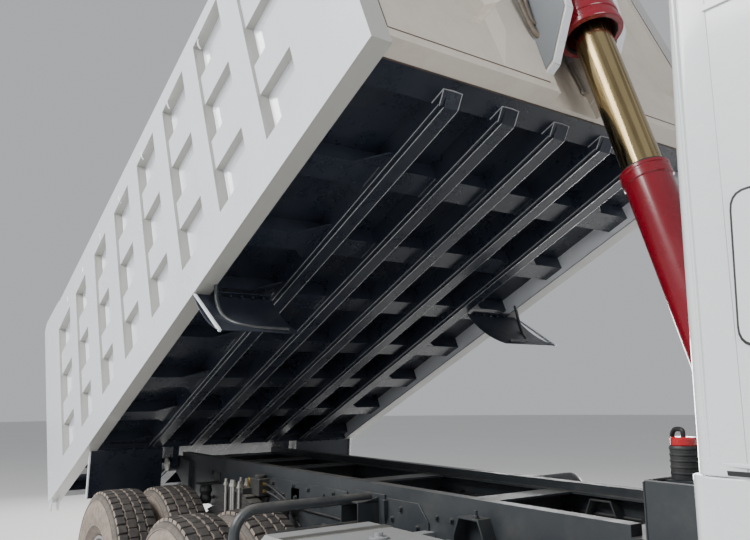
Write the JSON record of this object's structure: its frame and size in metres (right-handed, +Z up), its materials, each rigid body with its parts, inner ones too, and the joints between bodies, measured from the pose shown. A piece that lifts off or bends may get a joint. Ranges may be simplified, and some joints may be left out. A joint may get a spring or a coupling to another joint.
{
  "type": "dump truck",
  "caption": "Forward-control dump truck with a raised box-ribbed bed, a telescopic front hoist, twin rear axles and a tilting cab.",
  "frame": {"origin": "on the ground under the middle of the truck's length and width, with the bed raised as stored", "axes": "+X forward towards the bumper, +Y to the truck's left, +Z up"},
  "size_m": [9.07, 3.04, 4.7274],
  "materials": {
    "bed_white": "gloss",
    "bed_grey": "satin",
    "bed_front_white": "satin",
    "frame_grey": "satin",
    "axle_black": "satin",
    "engine_grey": "matte",
    "tank_grey": "satin",
    "hoist_red": "gloss",
    "stage_gold": "polished",
    "cab_white": "gloss",
    "cab_black": "matte",
    "glass": "clear",
    "tyre": "matte",
    "rim": "satin"
  },
  "bodies": {
    "chassis": {"frame_rails": "frame_grey", "crossmembers": "frame_grey", "hoist_box": "frame_grey", "rear_springs": "axle_black", "drive_axles": "axle_black", "front_axle": "axle_black", "front_springs": "axle_black", "engine": "engine_grey", "fuel_tank": "tank_grey", "front_bumper": "cab_black", "rear_bumper": "frame_grey", "guard_tubes": "frame_grey"},
    "knuckle_left": {"knuckle_left": "axle_black"},
    "knuckle_right": {"knuckle_right": "axle_black"},
    "bed": {"bed_floor": "bed_grey", "bed_side_left": "bed_white", "bed_side_right": "bed_white", "bed_front": "bed_front_white", "bed_flaps": "bed_grey"},
    "tailgate": {"tailgate": "bed_white"},
    "hoist_base": {"hoist_base": "hoist_red"},
    "hoist_stage_1": {"hoist_stage_1": "stage_gold"},
    "hoist_stage_2": {"hoist_stage_2": "stage_gold"},
    "hoist_cover": {"hoist_cover": "hoist_red"},
    "cab": {"cab_floor": "cab_white", "cab_body": "cab_white", "cab_front": "cab_white", "cab_glass": "glass", "cab_interior": "cab_black"},
    "door_left": {"door_left": "cab_white", "door_glass_left": "glass"},
    "door_right": {"door_right": "cab_white", "door_glass_right": "glass"},
    "wheel_front_left": {"tyre_front_left": "tyre", "rim_front_left": "rim"},
    "wheel_front_right": {"tyre_front_right": "tyre", "rim_front_right": "rim"},
    "wheel_mid_left": {"tyre_mid_left": "tyre", "rim_mid_left": "rim"},
    "wheel_mid_right": {"tyre_mid_right": "tyre", "rim_mid_right": "rim"},
    "wheel_rear_left": {"tyre_rear_left": "tyre", "rim_rear_left": "rim"},
    "wheel_rear_right": {"tyre_rear_right": "tyre", "rim_rear_right": "rim"}
  },
  "joints": [
    {"name": "bed_tip", "type": "hinge", "parent": "chassis", "child": "bed", "pos_m": [-2.79496, 0, 1.21], "axis": [0, -1, 0], "range_deg": [-23.5, 21.5]},
    {"name": "tailgate_swing", "type": "hinge", "parent": "bed", "child": "tailgate", "pos_m": [-4.49755, 0, 2.36706], "axis": [0, 1, 0], "range_deg": [0, 60]},
    {"name": "hoist_base_swing", "type": "hinge", "parent": "chassis", "child": "hoist_base", "pos_m": [1.75395, 0, 1.36], "axis": [0, -1, 0], "range_deg": [-11.75, 10.75]},
    {"name": "hoist_cover_swing", "type": "hinge", "parent": "bed", "child": "hoist_cover", "pos_m": [1.02557, 0, 3.68359], "axis": [0, -1, 0], "range_deg": [-10.75, 11.75]},
    {"name": "hoist_stage_1_slide", "type": "slide", "parent": "hoist_base", "child": "hoist_stage_1", "axis": [-0.2991, 0, 0.9542], "range_m": [-0.5788, 0.5296]},
    {"name": "hoist_stage_2_slide", "type": "slide", "parent": "hoist_stage_1", "child": "hoist_stage_2", "axis": [-0.2991, 0, 0.9542], "range_m": [-0.5911, 0.5409]},
    {"name": "cab_tilt", "type": "hinge", "parent": "chassis", "child": "cab", "pos_m": [4.30504, 0, 1], "axis": [0, 1, 0], "range_deg": [0, 50]},
    {"name": "door_left_swing", "type": "hinge", "parent": "cab", "child": "door_left", "pos_m": [4.16503, 1.254, 1.48], "axis": [0, 0, -1], "range_deg": [0, 70]},
    {"name": "door_right_swing", "type": "hinge", "parent": "cab", "child": "door_right", "pos_m": [4.16503, -1.254, 1.48], "axis": [0, 0, 1], "range_deg": [0, 70]},
    {"name": "steer_left", "type": "hinge", "parent": "chassis", "child": "knuckle_left", "pos_m": [3.03504, 0.83, 0.56], "axis": [0, 0, 1], "range_deg": [-35, 35]},
    {"name": "steer_right", "type": "hinge", "parent": "chassis", "child": "knuckle_right", "pos_m": [3.03504, -0.83, 0.56], "axis": [0, 0, 1], "range_deg": [-35, 35]},
    {"name": "wheel_front_left_spin", "type": "hinge", "parent": "knuckle_left", "child": "wheel_front_left", "pos_m": [3.03504, 1.01, 0.56], "axis": [0, 1, 0], "continuous": true},
    {"name": "wheel_front_right_spin", "type": "hinge", "parent": "knuckle_right", "child": "wheel_front_right", "pos_m": [3.03504, -1.01, 0.56], "axis": [0, 1, 0], "continuous": true},
    {"name": "wheel_mid_left_spin", "type": "hinge", "parent": "chassis", "child": "wheel_mid_left", "pos_m": [-0.76497, 0.915, 0.56], "axis": [0, 1, 0], "continuous": true},
    {"name": "wheel_mid_right_spin", "type": "hinge", "parent": "chassis", "child": "wheel_mid_right", "pos_m": [-0.76497, -0.915, 0.56], "axis": [0, 1, 0], "continuous": true},
    {"name": "wheel_rear_left_spin", "type": "hinge", "parent": "chassis", "child": "wheel_rear_left", "pos_m": [-2.11497, 0.915, 0.56], "axis": [0, 1, 0], "continuous": true},
    {"name": "wheel_rear_right_spin", "type": "hinge", "parent": "chassis", "child": "wheel_rear_right", "pos_m": [-2.11497, -0.915, 0.56], "axis": [0, 1, 0], "continuous": true}
  ],
  "couplings": [
    {"joint": "hoist_base_swing", "follows": "bed_tip", "ratio": 0.5},
    {"joint": "hoist_cover_swing", "follows": "bed_tip", "ratio": -0.5},
    {"joint": "hoist_stage_1_slide", "follows": "bed_tip", "m_per_rad": 1.41},
    {"joint": "hoist_stage_2_slide", "follows": "bed_tip", "m_per_rad": 1.44},
    {"joint": "steer_right", "follows": "steer_left", "ratio": 1}
  ]
}
